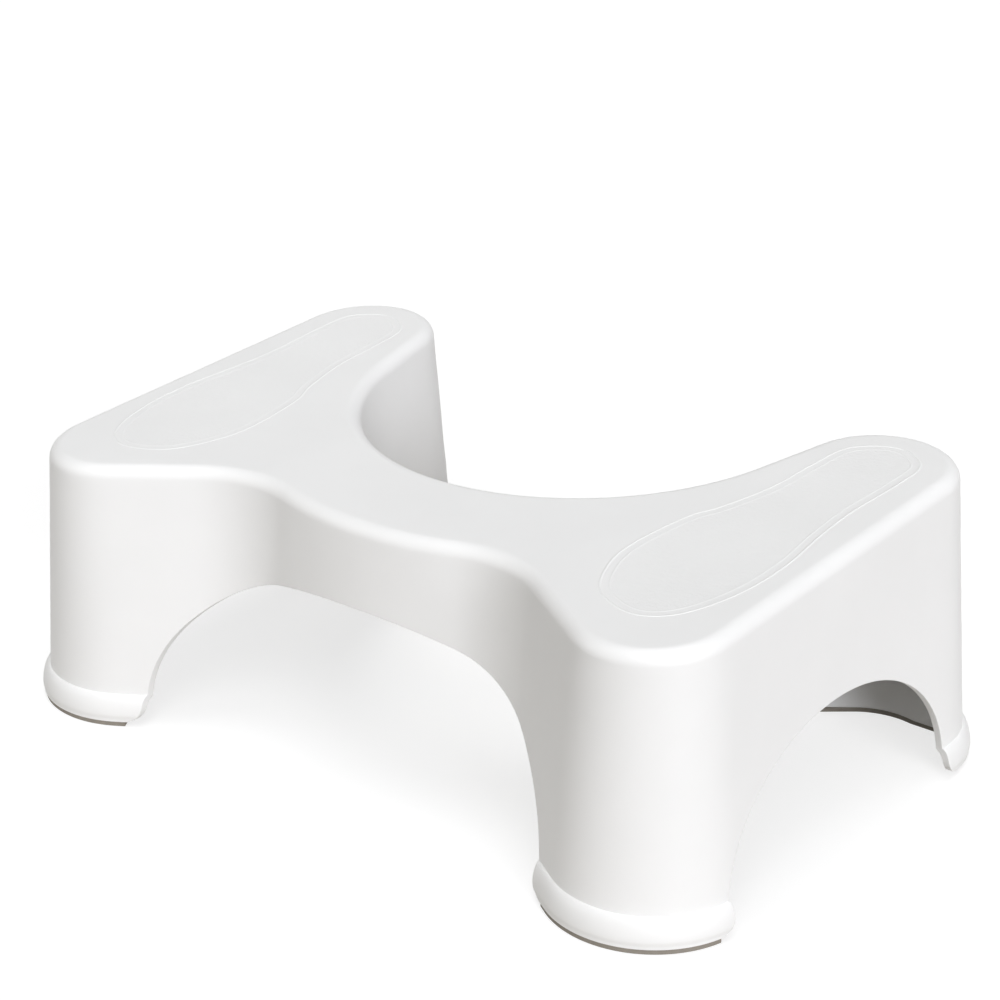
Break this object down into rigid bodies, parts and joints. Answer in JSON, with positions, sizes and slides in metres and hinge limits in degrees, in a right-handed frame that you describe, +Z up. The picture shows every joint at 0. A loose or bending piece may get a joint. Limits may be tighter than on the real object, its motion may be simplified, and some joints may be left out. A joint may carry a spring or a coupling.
{
  "type": "squatting footstool",
  "caption": "Thin-walled moulded footstool with a bow-tie deck, a deep round back recess, four arched legs with rounded foot rims and rubber foot strips.",
  "frame": {"origin": "middle of the footprint, on the floor", "axes": "+X along the wide side, +Y towards the deep recess at the back, +Z up"},
  "size_m": [0.5318, 0.3429, 0.1857],
  "materials": {
    "shell_plastic": "satin white, lightly textured",
    "strip_rubber": "dull warm grey"
  },
  "bodies": {
    "root": {"moulded_shell": "shell_plastic", "foot_strip_front_right": "strip_rubber", "foot_strip_front_left": "strip_rubber", "foot_strip_back_right": "strip_rubber", "foot_strip_back_left": "strip_rubber"}
  },
  "joints": []
}
